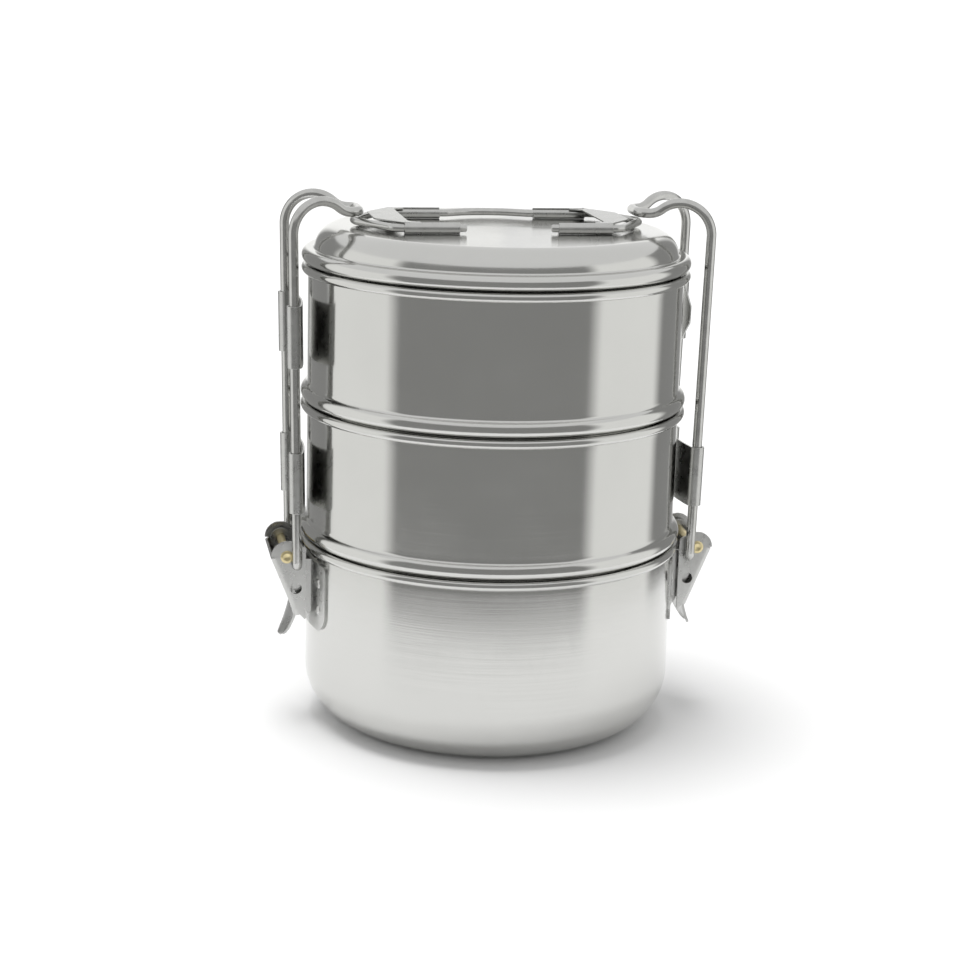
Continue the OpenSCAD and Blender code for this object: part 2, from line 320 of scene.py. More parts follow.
def handling_marks():
    """Slow clouding and thin scratches, as masks from 0 to 1."""
    if "handling_marks" in bpy.data.node_groups:
        return bpy.data.node_groups["handling_marks"]
    group, given, out = new_group("handling_marks", [("Cloud size", 40), ("Scratch size", 160)],
                                  ["Clouds", "Scratches"])
    place = group.nodes.new("ShaderNodeTexCoord").outputs["Object"]
    clouds = group.nodes.new("ShaderNodeTexNoise")
    clouds.inputs["Detail"].default_value = 4
    clouds.inputs["Roughness"].default_value = 0.6
    group.links.new(place, clouds.inputs["Vector"])
    group.links.new(given.outputs["Cloud size"], clouds.inputs["Scale"])
    group.links.new(clouds.outputs["Fac"], out.inputs["Clouds"])
    warp = group.nodes.new("ShaderNodeMapping")
    warp.inputs["Rotation"].default_value = (0.5, 0.9, 0.4)
    warp.inputs["Scale"].default_value = (1, 1, 0.06)
    group.links.new(place, warp.inputs["Vector"])
    cells = group.nodes.new("ShaderNodeTexVoronoi")
    cells.feature = "DISTANCE_TO_EDGE"
    group.links.new(warp.outputs[0], cells.inputs["Vector"])
    group.links.new(given.outputs["Scratch size"], cells.inputs["Scale"])
    thin = group.nodes.new("ShaderNodeMapRange")
    thin.inputs["From Max"].default_value = 0.02
    thin.inputs["To Min"].default_value = 1
    thin.inputs["To Max"].default_value = 0
    group.links.new(cells.outputs["Distance"], thin.inputs["Value"])
    group.links.new(thin.outputs[0], out.inputs["Scratches"])
    return group


def placed(tree, group, values):
    node = tree.nodes.new("ShaderNodeGroup")
    node.node_tree = group
    for label, value in values.items():
        node.inputs[label].default_value = value
    return node


def mapped(tree, value, low, high, start=0.3, stop=0.7):
    node = tree.nodes.new("ShaderNodeMapRange")
    node.inputs["From Min"].default_value = start
    node.inputs["From Max"].default_value = stop
    node.inputs["To Min"].default_value = low
    node.inputs["To Max"].default_value = high
    tree.links.new(value, node.inputs["Value"])
    return node.outputs[0]


def metal(name, colour, roughness, spread, grain=None, lines=0.0, stretch=0.0, cloud=45, dark=0.9,
          scratches=0.02):
    """A metal with clouding and scratches, and spun lines where grain gives their fineness."""
    if name in bpy.data.materials:
        return bpy.data.materials[name]
    material = bpy.data.materials.new(name)
    material.use_nodes = True
    tree = material.node_tree
    shader = tree.nodes["Principled BSDF"]
    shader.inputs["Metallic"].default_value = 1
    marks = placed(tree, handling_marks(), {"Cloud size": cloud, "Scratch size": 160})
    blend = tree.nodes.new("ShaderNodeMix")
    blend.data_type = "RGBA"
    blend.inputs["A"].default_value = (*[c * dark for c in colour], 1)
    blend.inputs["B"].default_value = (*colour, 1)
    tree.links.new(mapped(tree, marks.outputs["Clouds"], 0, 1), blend.inputs["Factor"])
    tree.links.new(blend.outputs["Result"], shader.inputs["Base Color"])
    gloss = mapped(tree, marks.outputs["Clouds"], roughness - spread, roughness + spread)
    scratch = math_node(tree, "MULTIPLY", marks.outputs["Scratches"], scratches)
    height = scratch
    if grain:
        spun = placed(tree, spun_lines(), {"Fineness": grain, "Drift": 1.5})
        gloss = math_node(tree, "ADD", gloss, mapped(tree, spun.outputs["Lines"], -spread, spread))
        height = math_node(tree, "ADD", scratch, math_node(tree, "MULTIPLY", spun.outputs["Lines"], lines))
    tree.links.new(math_node(tree, "ADD", gloss, scratch), shader.inputs["Roughness"])
    bump = tree.nodes.new("ShaderNodeBump")
    bump.inputs["Strength"].default_value = 0.5
    bump.inputs["Distance"].default_value = 0.00004
    tree.links.new(height, bump.inputs["Height"])
    tree.links.new(bump.outputs["Normal"], shader.inputs["Normal"])
    if stretch:
        shader.inputs["Anisotropic"].default_value = stretch
        tree.links.new(across_the_lines(tree), shader.inputs["Tangent"])
    return material


def across_the_lines(tree):
    """Direction along the surface that crosses the spun lines."""
    place = tree.nodes.new("ShaderNodeTexCoord").outputs["Object"]
    surface = tree.nodes.new("ShaderNodeNewGeometry").outputs["Normal"]
    around = tree.nodes.new("ShaderNodeVectorMath")
    around.operation = "CROSS_PRODUCT"
    around.inputs[0].default_value = (0, 0, 1)
    tree.links.new(place, around.inputs[1])
    across = tree.nodes.new("ShaderNodeVectorMath")
    across.operation = "CROSS_PRODUCT"
    tree.links.new(around.outputs[0], across.inputs[0])
    tree.links.new(surface, across.inputs[1])
    return across.outputs[0]


def polished_steel():
    looks = bpy.context.scene.carrier_finishes
    return metal("polished_steel", looks.steel, looks.polish, 0.03, 2600, 0.45, 0.85, 30, 0.96)


def satin_steel():
    looks = bpy.context.scene.carrier_finishes
    return metal("satin_steel", looks.steel, looks.satin, 0.03, 2600, 0.4, 0.78, 26, 0.96)


def drawn_wire():
    looks = bpy.context.scene.carrier_finishes
    return metal("drawn_wire", looks.wire, 0.2, 0.05, cloud=220, dark=0.86, scratches=0.06)


def pressed_steel():
    looks = bpy.context.scene.carrier_finishes
    return metal("pressed_steel", looks.pressed, 0.3, 0.06, cloud=260, dark=0.86, scratches=0.08)


def rivet_brass():
    looks = bpy.context.scene.carrier_finishes
    return metal("rivet_brass", looks.brass, 0.3, 0.08, cloud=500, dark=0.7, scratches=0.05)


# ---- Bowls and lid ----

def curl(size, top):
    """The rolled bead of a rim and the joggle below it, from the tucked end inwards."""
    mid = size.wall - size.sheet / 2
    roll = size.rim - size.sheet / 2
    cx, cz = RIM_OUTER - size.rim, top - size.rim
    inner = cx - roll
    return arc(cx, cz, roll, -118, 180, 30) + [
        (inner + 0.05 * MM, cz - 0.9 * MM), (inner + 0.25 * MM, cz - 1.8 * MM),
        (mid - 0.03 * MM, cz - 2.8 * MM), (mid, cz - 3.6 * MM), (mid, cz - 5 * MM)]


class CARRIER_OT_base_bowl(bpy.types.Operator):
    """Builds the deep lowest bowl with its rounded foot and rolled rim"""

    bl_idname = "carrier.base_bowl"
    bl_label = "Base bowl"

    def execute(self, context):
        size = context.scene.carrier_sizes
        mid = size.wall - size.sheet / 2
        low = size.corner + size.sheet / 2
        profile = curl(size, BASE_TOP) + [(mid, low + 1.5 * MM)]
        profile += arc(mid - size.corner, low, size.corner, 0, -90, 22)
        profile += [(mid - size.corner - 2 * MM, size.sheet / 2), (0, size.sheet / 2)]
        piece = turned("lowest_bowl", profile, size.turns, size.sheet, satin_steel())
        finished(piece, "base", "bowl_steel", "base_bowl")
        return {"FINISHED"}


class CARRIER_OT_stacked_bowls(bpy.types.Operator):
    """Builds the two bowls that stand on the rim of the one below"""

    bl_idname = "carrier.stacked_bowls"
    bl_label = "Stacked bowls"

    def execute(self, context):
        size = context.scene.carrier_sizes
        for body, below, top in (("middle", BASE_TOP, MIDDLE_TOP), ("top", MIDDLE_TOP, TOP_TOP)):
            piece = turned(f"{body}_bowl_shell", stacked_profile(size, below, top), size.turns,
                           size.sheet, polished_steel())
            finished(piece, body, "bowl_steel", f"{body}_bowl")
        return {"FINISHED"}


def stacked_profile(size, below, top):
    """From the rim down the wall, over the cove and the bulge, and in to the foot."""
    mid = size.wall - size.sheet / 2
    foot = size.plug - size.sheet / 2
    seat = below + size.seat + size.sheet / 2
    cove = 2 * MM
    bulge_x = RIM_OUTER - size.bulge - size.sheet / 2
    bulge_z = seat + size.bulge
    across = mid + cove - bulge_x
    cove_z = bulge_z + math.sqrt((size.bulge + cove) ** 2 - across ** 2)
    meet = math.degrees(math.atan2(cove_z - bulge_z, across))
    inner = 3 * MM
    low = below - size.plug_depth
    profile = curl(size, top) + [(mid, cove_z + 1.2 * MM)]
    profile += arc(mid + cove, cove_z, cove, 180, 180 + meet, 8)
    profile += arc(bulge_x, bulge_z, size.bulge, meet, -90, 20)[1:]
    profile += [(foot + 0.5 * MM, seat), (foot + 0.1 * MM, seat - 0.25 * MM), (foot, seat - 0.8 * MM)]
    profile += arc(foot - inner, low + inner, inner, 0, -90, 8)
    return profile + [(foot - inner - 2 * MM, low), (0, low)]


class CARRIER_OT_lid(bpy.types.Operator):
    """Builds the lid: flat top, full shoulder, rounded flange and locating skirt"""

    bl_idname = "carrier.lid"
    bl_label = "Lid"

    def execute(self, context):
        size = context.scene.carrier_sizes
        crown = LID_TOP - size.sheet / 2
        seat = TOP_TOP + size.seat + size.sheet / 2
        flange = 2.35 * MM
        shoulder = 8.5 * MM
        valley = 1.3 * MM
        top_r = 58.5 * MM
        steep = 8
        turn_in = math.radians(steep)
        reach = shoulder + valley
        valley_x = top_r + reach * math.cos(turn_in)
        valley_z = crown - shoulder + reach * math.sin(turn_in)
        skirt = 67.4 * MM
        profile = [(0, crown), (top_r - 1.5 * MM, crown)]
        profile += arc(top_r, crown - shoulder, shoulder, 90, steep, 18)
        profile += arc(valley_x, valley_z, valley, 180 + steep, 262, 8)[1:]
        profile += arc(RIM_OUTER - flange - size.sheet / 2, seat + flange, flange, 84, -90, 20)
        profile += [(skirt + 0.5 * MM, seat), (skirt + 0.1 * MM, seat - 0.25 * MM), (skirt, seat - 0.8 * MM),
                    (skirt, TOP_TOP - 2.8 * MM)]
        piece = turned("domed_lid", profile, size.turns, size.sheet, polished_steel())
        finished(piece, "lid", "bowl_steel", "lid")
        return {"FINISHED"}


# ---- Brackets, rivets and levers; each is drawn for +X and mirrored ----

EAR_Y = 12 * MM
CHEEK_Y = 14.45 * MM
PLATE_HALF = 26 * MM
PLATE_LOW = 40 * MM
PLATE_HIGH = 65.5 * MM
PLATE_SHEET = 0.8 * MM
PIN_HOLE = 1.66 * MM
PIVOT = (-3.6 * MM, -3.3 * MM)
SPARE_HOLE = (-3.4 * MM, -12.2 * MM)


def mirrored(bm, side):
    """Puts what was drawn for +X on the given side, with its faces outwards."""
    if side < 0:
        place_on(bm, Matrix.Scale(-1, 4, (1, 0, 0)))
        bmesh.ops.reverse_faces(bm, faces=bm.faces)


def bracket_plate(bm, radius):
    """A sheet that follows the bowl's wall, its corners rounded."""
    columns = 36
    low_corner, high_corner = 7 * MM, 2 * MM
    rows = []
    for i in range(columns + 1):
        share_across = -math.cos(math.pi * i / columns)
        y = PLATE_HALF * share_across
        edge = PLATE_HALF - abs(y)
        low = PLATE_LOW + corner_rise(edge, low_corner)
        high = PLATE_HIGH - corner_rise(edge, high_corner)
        angle = y / radius
        rows.append([(radius * math.cos(angle), radius * math.sin(angle), low + (high - low) * k / 8)
                     for k in range(9)])
    strip(bm, rows)


def corner_rise(edge, radius):
    """How far a rounded corner has risen at a distance from the edge."""
    if edge >= radius:
        return 0
    return radius - math.sqrt(max(0, radius ** 2 - (radius - edge) ** 2))


def bracket_ear(bm, side_y):
    """A flat ear from the wall out to the rivet."""
    wall_x = math.sqrt(0.0696 ** 2 - side_y ** 2)
    outline = [(wall_x, 46 * MM), (70.4 * MM, 44.3 * MM)]
    outline += [(RIVET_X + x, RIVET_Z + z) for x, z in arc(0, 0, 4 * MM, -32, 150, 22)]
    outline += [(RIVET_X - 4.6 * MM, 65.4 * MM), (wall_x, 65.4 * MM)]
    plate(bm, outline, [(RIVET_X, RIVET_Z, PIN_HOLE)], lambda x, z: (x, side_y, z))


def dome(radius, height, rings, steps):
    """Profile of a low dome, from its middle out."""
    points = [(radius * math.sin(math.pi / 2 * i / rings), height * math.cos(math.pi / 2 * i / rings))
              for i in range(rings + 1)]
    return revolve(points, steps)


def revolve(points, steps):
    """A bmesh of (radius, height) points turned round Z."""
    bm = bmesh.new()
    rows = []
    for i in range(steps + 1):
        a = 2 * math.pi * i / steps
        rows.append([(r * math.cos(a), r * math.sin(a), z) for r, z in points])
    strip(bm, rows)
    bmesh.ops.remove_doubles(bm, verts=bm.verts, dist=0.000002)
    bmesh.ops.dissolve_degenerate(bm, edges=bm.edges, dist=0.000001)
    bmesh.ops.recalc_face_normals(bm, faces=bm.faces)
    return bm


def add(bm, part, matrix):
    """Adds a placed copy of part to bm."""
    mesh = bpy.data.meshes.new("part")
    part.to_mesh(mesh)
    mesh.transform(matrix)
    bm.from_mesh(mesh)
    bpy.data.meshes.remove(mesh)


class CARRIER_OT_brackets(bpy.types.Operator):
    """Builds the two brackets welded to the lowest bowl, with their weld studs"""

    bl_idname = "carrier.brackets"
    bl_label = "Brackets"

    def execute(self, context):
        for name, side in SIDES.items():
            bm = bmesh.new()
            bracket_plate(bm, 0.0696 + PLATE_SHEET / 2 + 0.00002)
            for y in (-EAR_Y, EAR_Y):
                bracket_ear(bm, y)
            facing_out(bm)
            mirrored(bm, side)
            piece = link(mesh_of(bm, f"bracket_sheet_{name}"), f"bracket_sheet_{name}", [pressed_steel()])
            thick(piece, PLATE_SHEET)
            rounded(piece, 0.16 * MM)
            even_shading(piece)
            finished(piece, "base", "sheet_steel", f"bracket_{name}")
        self.studs()
        return {"FINISHED"}

    def studs(self):
        """Four raised weld spots on each bracket plate."""
        bm = bmesh.new()
        stud = dome(1.9 * MM, 0.55 * MM, 6, 24)
        spread = math.asin(20 / 69.6)
        for side in SIDES.values():
            for angle in (-spread, spread):
                for z in (48 * MM, 58 * MM):
                    heading = angle if side > 0 else math.pi - angle
                    place = Matrix.Rotation(heading, 4, "Z") @ Matrix.Translation((0.07041, 0, z))
                    add(bm, stud, place @ Matrix.Rotation(math.pi / 2, 4, "Y"))
        stud.free()
        piece = link(mesh_of(bm, "weld_spots"), "weld_spots", [pressed_steel()])
        finished(piece, "base", "sheet_steel", "weld_studs")


class CARRIER_OT_rivets(bpy.types.Operator):
    """Builds the brass rivets with their rolled heads, and the washers on them"""

    bl_idname = "carrier.rivets"
    bl_label = "Rivets"

    def execute(self, context):
        end = 15.38 * MM
        head = 14.99 * MM
        shank = 1.6 * MM
        profile = [(0, end - 0.25 * MM), (0.75 * MM, end - 0.22 * MM), (1.15 * MM, end - 0.02 * MM),
                   (1.5 * MM, end), (2.05 * MM, end - 0.06 * MM), (2.35 * MM, end - 0.2 * MM),
                   (2.4 * MM, head + 0.1 * MM), (2.35 * MM, head), (shank, head), (shank, 0)]
        profile += [(r, -z) for r, z in reversed(profile[:-1])]
        rivet = revolve(profile, 40)
        for name, side in SIDES.items():
            bm = bmesh.new()
            place = Matrix.Translation((side * RIVET_X, 0, RIVET_Z)) @ Matrix.Rotation(math.pi / 2, 4, "X")
            add(bm, rivet, place)
            piece = link(mesh_of(bm, f"brass_rivet_{name}"), f"brass_rivet_{name}", [rivet_brass()])
            piece.data.set_sharp_from_angle(angle=math.radians(50))
            finished(piece, "base", "rivet_brass", f"rivet_{name}")
        rivet.free()
        self.washers()
        return {"FINISHED"}

    def washers(self):
        """A thin ring between each ear and the lever's cheek."""
        inner, outer, half = 1.68 * MM, 2.6 * MM, 0.38 * MM
        ring = revolve([(inner, -half), (outer - 0.1 * MM, -half), (outer, -half + 0.1 * MM),
                        (outer, half - 0.1 * MM), (outer - 0.1 * MM, half), (inner, half),
                        (inner, -half)], 32)
        bm = bmesh.new()
        for side in SIDES.values():
            for y in (-12.9 * MM, 12.9 * MM):
                place = Matrix.Translation((side * RIVET_X, y, RIVET_Z))
                add(bm, ring, place @ Matrix.Rotation(math.pi / 2, 4, "X"))
        ring.free()
        piece = link(mesh_of(bm, "rivet_washers"), "rivet_washers", [rivet_brass()])
        piece.data.set_sharp_from_angle(angle=math.radians(50))
        finished(piece, "base", "rivet_brass", "lever_washers")


class CARRIER_OT_levers(bpy.types.Operator):
    """Builds the two over-centre levers, each one folded sheet with a curled thumb tab"""

    bl_idname = "carrier.levers"
    bl_label = "Levers"

    def execute(self, context):
        sheet = context.scene.carrier_sizes.lever_sheet
        for name, side in SIDES.items():
            bm = bmesh.new()
            folded_lever(bm, sheet)
            place_on(bm, Matrix.Translation((RIVET_X, 0, RIVET_Z)))
            facing_out(bm)
            mirrored(bm, side)
            piece = link(mesh_of(bm, f"lever_sheet_{name}"), f"lever_sheet_{name}", [pressed_steel()])
            thick(piece, sheet)
            rounded(piece, 0.2 * MM)
            even_shading(piece)
            finished(piece, f"lever_{name}", "sheet_steel", f"lever_{name}")
        return {"FINISHED"}


def folded_lever(bm, sheet):
    """Cheeks, the bent web between them and the tab, all on the middle of the sheet."""
    web_top = Vector((5.84, -0.82)) * MM
    heel = Vector((-3.2, -23)) * MM
    down = (heel - web_top).normalized()
    out = Vector((-down.y, down.x))
    bend = 1.3 * MM
    inset = sheet / 2
    edge_top = web_top - out * (inset + bend)
    edge_low = heel - out * (inset + bend)
    outline = [tuple(edge_top)] + arc(0, 0, 5.9 * MM, 0, 120, 16)
    outline += arc(-5.2 * MM, 2.2 * MM, 1.8 * MM, 112, 180, 6)
    outline += [(-7 * MM, -23.9 * MM), (-6.6 * MM, -24.3 * MM), tuple(edge_low)]
    holes = [(0, 0, PIN_HOLE), (*PIVOT, 1.88 * MM), (*SPARE_HOLE, 2.1 * MM)]
    for y in (-CHEEK_Y, CHEEK_Y):
        plate(bm, outline, holes, lambda x, z, y=y: (x, y, z))
    corner = arc(0, 0, bend, 0, 90, 5)
    section = [(-CHEEK_Y + bend - c, s) for c, s in corner]
    tab_ys = [-11, -7.5, -3.8, 0, 3.8, 7.5, 11]
    section += [(y * MM, bend) for y in tab_ys]
    section += [(CHEEK_Y - bend + c, s) for c, s in reversed(corner)]
    rows = [[(p.x + out.x * s, y, p.y + out.y * s) for y, s in section] for p in (edge_top, edge_low)]
    strip(bm, rows)
    start = edge_low + out * bend
    path = [(0, 0, 11, 0), (0.5, -1.1, 10.6, 0.1), (1.1, -2.6, 9.9, 0.3), (2.0, -4.6, 9.2, 0.5),
            (3.1, -6.9, 8.2, 0.7), (4.3, -9.0, 6.6, 0.8), (5.0, -10.2, 4.9, 0.8), (5.45, -10.95, 2.6, 0.75)]
    rows = []
    for x, z, half, spoon in path:
        rows.append([(start.x + (x - spoon * (y / 11) ** 2) * MM, y * half / 11 * MM, start.y + z * MM)
                     for y in tab_ys])
    strip(bm, rows)


# ---- Arms and their clips ----

ARM_LEAN = math.radians(1)
ELBOW = 2 * MM
PIN_END = 12.9 * MM
LEG_Y = 17.4 * MM
LEG_TOP = TOP_TOP + 12.6 * MM
ARCH = 11.5 * MM
RISE_TURN = 130
TAPER = 22.6
TIP_BEND = 7.7 * MM
NOSE_BEND = 5 * MM
CLIP_HEIGHT = 22.6 * MM
CLIP_LOWER = 20.8 * MM
CLIP_UPPER = 74.8 * MM


def at_arm(side):
    """The frame at an arm's pivot: X towards the bowls, Z up the legs."""
    place = Matrix.Translation((RIVET_X + PIVOT[0], 0, RIVET_Z + PIVOT[1]))
    place = place @ Matrix.Rotation(ARM_LEAN, 4, "Y") @ Matrix.Scale(-1, 4, (1, 0, 0))
    return place if side > 0 else Matrix.Scale(-1, 4, (1, 0, 0)) @ place


class CARRIER_OT_arms(bpy.types.Operator):
    """Builds the two arms, each one bent wire from pin to pin"""

    bl_idname = "carrier.arms"
    bl_label = "Arms"

    def execute(self, context):
        radius = context.scene.carrier_sizes.arm_wire
        span = ARCH * (1 + math.cos(math.radians(180 - RISE_TURN)))
        span += TIP_BEND * math.sin(math.radians(RISE_TURN - 90))
        nose = LEG_Y - span * math.sin(math.radians(TAPER)) - NOSE_BEND * math.cos(math.radians(TAPER))
        leg = LEG_TOP - (RIVET_Z + PIVOT[1]) - ELBOW
        start = Matrix.Translation((0, -PIN_END, 0)) @ Matrix.Rotation(math.pi / 2, 4, "X")
        start = start @ Matrix.Rotation(math.pi / 2, 4, "Z")
        half = walk(start, [
            ("run", LEG_Y - ELBOW - PIN_END), ("bend", ELBOW, 90), ("run", leg),
            ("turn", TAPER - 90), ("bend", ARCH, RISE_TURN),
            ("turn", 180), ("bend", TIP_BEND, RISE_TURN - 90),
            ("turn", -90), ("bend", NOSE_BEND, 90 - TAPER), ("run", nose)])
        whole = half + [Vector((p.x, -p.y, p.z)) for p in reversed(half[:-1])]
        for name, side in SIDES.items():
            points = [at_arm(side) @ p for p in whole]
            piece = wire(f"arm_wire_{name}", points, radius, drawn_wire())
            finished(piece, f"arm_{name}", "wire_steel", f"arm_{name}")
        return {"FINISHED"}


class CARRIER_OT_clips(bpy.types.Operator):
    """Builds the sheet clips rolled round the legs of the arms"""

    bl_idname = "carrier.clips"
    bl_label = "Clips"

    def execute(self, context):
        size = context.scene.carrier_sizes
        roll = size.arm_wire + 0.25 * MM + size.clip_sheet / 2
        clips = (
            ("left_upper", -1, CLIP_UPPER, None),
            ("left_lower", -1, CLIP_LOWER, None),
            ("right_lower", 1, CLIP_LOWER, None),
            ("right_upper", 1, CLIP_UPPER + 4 * MM, -9 * MM),
        )
        for name, side, level, low in clips:
            bm = bmesh.new()
            rolled_clip(bm, roll, low)
            facing_out(bm)
            place_on(bm, at_arm(side) @ Matrix.Translation((0, 0, level)))
            if side > 0:
                bmesh.ops.reverse_faces(bm, faces=bm.faces)
            piece = link(mesh_of(bm, f"rolled_clip_{name}"), f"rolled_clip_{name}", [pressed_steel()])
            thick(piece, size.clip_sheet)
            rounded(piece, 0.14 * MM)
            even_shading(piece)
            arm = name.split("_")[0]
            finished(piece, f"arm_{arm}", "sheet_steel", f"clip_{name}")
        return {"FINISHED"}


def rolled_clip(bm, roll, tongue):
    """The clip's section, rolled round one or both legs; a tongue is cut on the slant."""
    bow = 1.6 * MM
    wrap = 262
    far = [(x, y) for x, y in arc(0, LEG_Y, roll, 0, wrap, 26)]
    first = -LEG_Y if tongue is None else tongue
    count = 14
    web = []
    for i in range(count):
        y = first + (LEG_Y - first) * i / count
        web.append((roll + bow * (1 - (y / LEG_Y) ** 2), y))
    near = [(x, -y) for x, y in reversed(far)] if tongue is None else []
    rows = []
    for x, y in near + (web[1:] if near else web) + far:
        low, high = 0, CLIP_HEIGHT
        if tongue is not None and y < LEG_Y - roll:
            low = max(0, min(10 * MM, (2 * MM - y) * 10 / 11))
            high = min(CLIP_HEIGHT, CLIP_HEIGHT - 6 * MM + (y - tongue) * 6 / 7)
        rows.append([(x, y, low + (high - low) * k / 4) for k in range(5)])
    strip(bm, rows)


# ---- Handle on the lid ----

HANDLE_Y = 23 * MM
HANDLE_START = 18 * MM
TUBE_LENGTH = 20 * MM
SLANT_X = 38.5 * MM
SLANT = 60
SLANT_BEND = 5 * MM
NOSE_TURN = 9 * MM
TUBE_SHEET = 0.6 * MM
TUBE_PLAY = 0.05 * MM
GRIP_TURN = 28
GRIP_SMALL = 6 * MM
GRIP_RUN = 2 * MM
TUBE_ABOVE_LID = 0.04 * MM


class CARRIER_OT_handle(bpy.types.Operator):
    """Builds the handle wire with its bowed grip and the two rolled plates that hold it"""

    bl_idname = "carrier.handle"
    bl_label = "Handle"

    def execute(self, context):
        radius = context.scene.carrier_sizes.handle_wire
        level = LID_TOP + radius + TUBE_PLAY + TUBE_SHEET + TUBE_ABOVE_LID
        self.handle_wire(radius, level)
        self.plates(radius, level)
        return {"FINISHED"}

    def handle_wire(self, radius, level):
        turn = math.radians(GRIP_TURN)
        half_span = HANDLE_START - 1 * MM - GRIP_SMALL * math.sin(turn) - GRIP_RUN * math.cos(turn)
        grip = half_span / math.sin(turn)
        stub = 2.5 * MM
        start = Matrix.Translation((HANDLE_START - stub, -HANDLE_Y, level))
        start = start @ Matrix.Rotation(math.pi / 2, 4, "Y")
        lean = math.radians(SLANT)
        across = HANDLE_Y - SLANT_BEND * (1 - math.cos(lean)) - NOSE_TURN * math.cos(lean)
        slant_run = across / math.sin(lean)
        half = walk(start, [
            ("run", SLANT_X - HANDLE_START + stub), ("turn", 90), ("bend", SLANT_BEND, SLANT),
            ("run", slant_run), ("bend", NOSE_TURN, 180 - 2 * SLANT),
            ("run", slant_run), ("bend", SLANT_BEND, SLANT),
            ("run", SLANT_X - HANDLE_START + 1 * MM), ("turn", 180), ("bend", GRIP_SMALL, GRIP_TURN),
            ("run", GRIP_RUN), ("turn", 180), ("bend", grip, GRIP_TURN)])
        whole = half + [Vector((-p.x, p.y, p.z)) for p in reversed(half[:-1])]
        piece = wire("grip_wire", whole, radius, drawn_wire())
        finished(piece, "lid", "wire_steel", "handle_wire")

    def plates(self, radius, level):
        sheet = TUBE_SHEET
        roll = radius + TUBE_PLAY + sheet / 2
        for name, side in SIDES.items():
            bm = bmesh.new()
            handle_sheet(bm, roll)
            place_on(bm, Matrix.Translation((0, 0, level)))
            facing_out(bm)
            mirrored(bm, side)
            piece = link(mesh_of(bm, f"handle_sheet_{name}"), f"handle_sheet_{name}", [pressed_steel()])
            thick(piece, sheet)
            rounded(piece, 0.12 * MM)
            even_shading(piece)
            finished(piece, "lid", "sheet_steel", f"handle_plate_{name}")


def handle_sheet(bm, roll):
    """A flat middle whose two wings are rolled into tubes round the wire."""
    inner, outer = 36 * MM, 47.2 * MM
    end = HANDLE_START + TUBE_LENGTH
    wing_x = [HANDLE_START + TUBE_LENGTH * i / 5 for i in range(6)]
    for s in (-1, 1):
        section = [(s * (HANDLE_Y + x), z) for x, z in arc(0, 0, roll, 90, -205, 28)]
        strip(bm, [[(x, y, z) for y, z in section] for x in wing_x])
    corner = 4 * MM
    flat = 9 * MM
    outline = [(inner - 4 * MM, HANDLE_Y), (inner - 4 * MM, HANDLE_Y - 2 * MM)]
    outline += [(x, y) for x, y in arc(inner - 4 * MM, HANDLE_Y - 6 * MM, 4 * MM, 90, 0, 6)]
    outline += [(x, y) for x, y in arc(inner - 4 * MM, 6 * MM - HANDLE_Y, 4 * MM, 0, -90, 6)]
    outline += [(inner - 4 * MM, -HANDLE_Y), (end, -HANDLE_Y)]
    outline += arc(outer - corner, -flat, corner, -30, 0, 4)
    outline += arc(outer - corner, flat, corner, 0, 30, 4)
    outline += [(end, HANDLE_Y)]
    plate(bm, outline, [], lambda x, y: (x, y, roll))


# ---- Stage ----

# The ring's stretches, by bearing in degrees from the camera's side, the same both ways round
BOX_STARTS = 50
BOX_ENDS = 100
BACKDROP_STARTS = 145
SOFT_EDGE = 8
CLOTH_LIGHT = 0.30
BOX_LIGHT = 1.0
BACKDROP_LIGHT = 1.1
CARD_BLUE = 0.985
RING_STEPS = 96
FLOOR_RADIUS = 60
FLOOR_GREY = 0.76
WINDOW_HEADING = (0.17, -0.05, -0.98)
WINDOW_SPREAD = 30
CAMERA_PLACE = Vector((-0.1473, -0.7660, 0.2831))
CAMERA_AIM = Vector((0.1786, 0.9544, -0.2390))
CAMERA_ROLL = 1.52


def ring_lights():
    """Bearing and brightness round the ring: cloth in front, a soft box each side, a white backdrop."""
    half = [
        (BOX_STARTS, CLOTH_LIGHT),
        (BOX_STARTS + SOFT_EDGE, BOX_LIGHT),
        (BOX_ENDS, BOX_LIGHT),
        (BOX_ENDS + SOFT_EDGE, CLOTH_LIGHT),
        (BACKDROP_STARTS, CLOTH_LIGHT),
        (BACKDROP_STARTS + SOFT_EDGE, BACKDROP_LIGHT),
        (180, BACKDROP_LIGHT),
    ]
    return [(-bearing, light) for bearing, light in reversed(half)] + half


def card_material(turn):
    """The ring's grey cloth, soft boxes and backdrop, by bearing round the object."""
    material = bpy.data.materials.new("studio_cards")
    material.use_nodes = True
    tree = material.node_tree
    tree.nodes.remove(tree.nodes["Principled BSDF"])
    place = tree.nodes.new("ShaderNodeTexCoord").outputs["Object"]
    split = tree.nodes.new("ShaderNodeSeparateXYZ")
    tree.links.new(place, split.inputs[0])
    bearing = math_node(tree, "ARCTAN2", split.outputs["Y"], split.outputs["X"])
    turned_by = math_node(tree, "WRAP", math_node(tree, "SUBTRACT", bearing, turn), math.pi, -math.pi)
    part = math_node(tree, "MULTIPLY_ADD", turned_by, 0.5 / math.pi, 0.5)
    ramp = tree.nodes.new("ShaderNodeValToRGB")
    stops = ramp.color_ramp.elements
    for i, (degrees, light) in enumerate(ring_lights()):
        where = (degrees + 180) / 360
        stop = stops[i] if i < 1 else stops.new(where)
        stop.position = where
        stop.color = (light, light, light * CARD_BLUE, 1)
    tree.links.new(part, ramp.inputs["Fac"])
    glow = tree.nodes.new("ShaderNodeEmission")
    tree.links.new(ramp.outputs["Color"], glow.inputs["Color"])
    tree.links.new(glow.outputs[0], tree.nodes["Material Output"].inputs["Surface"])
    return material


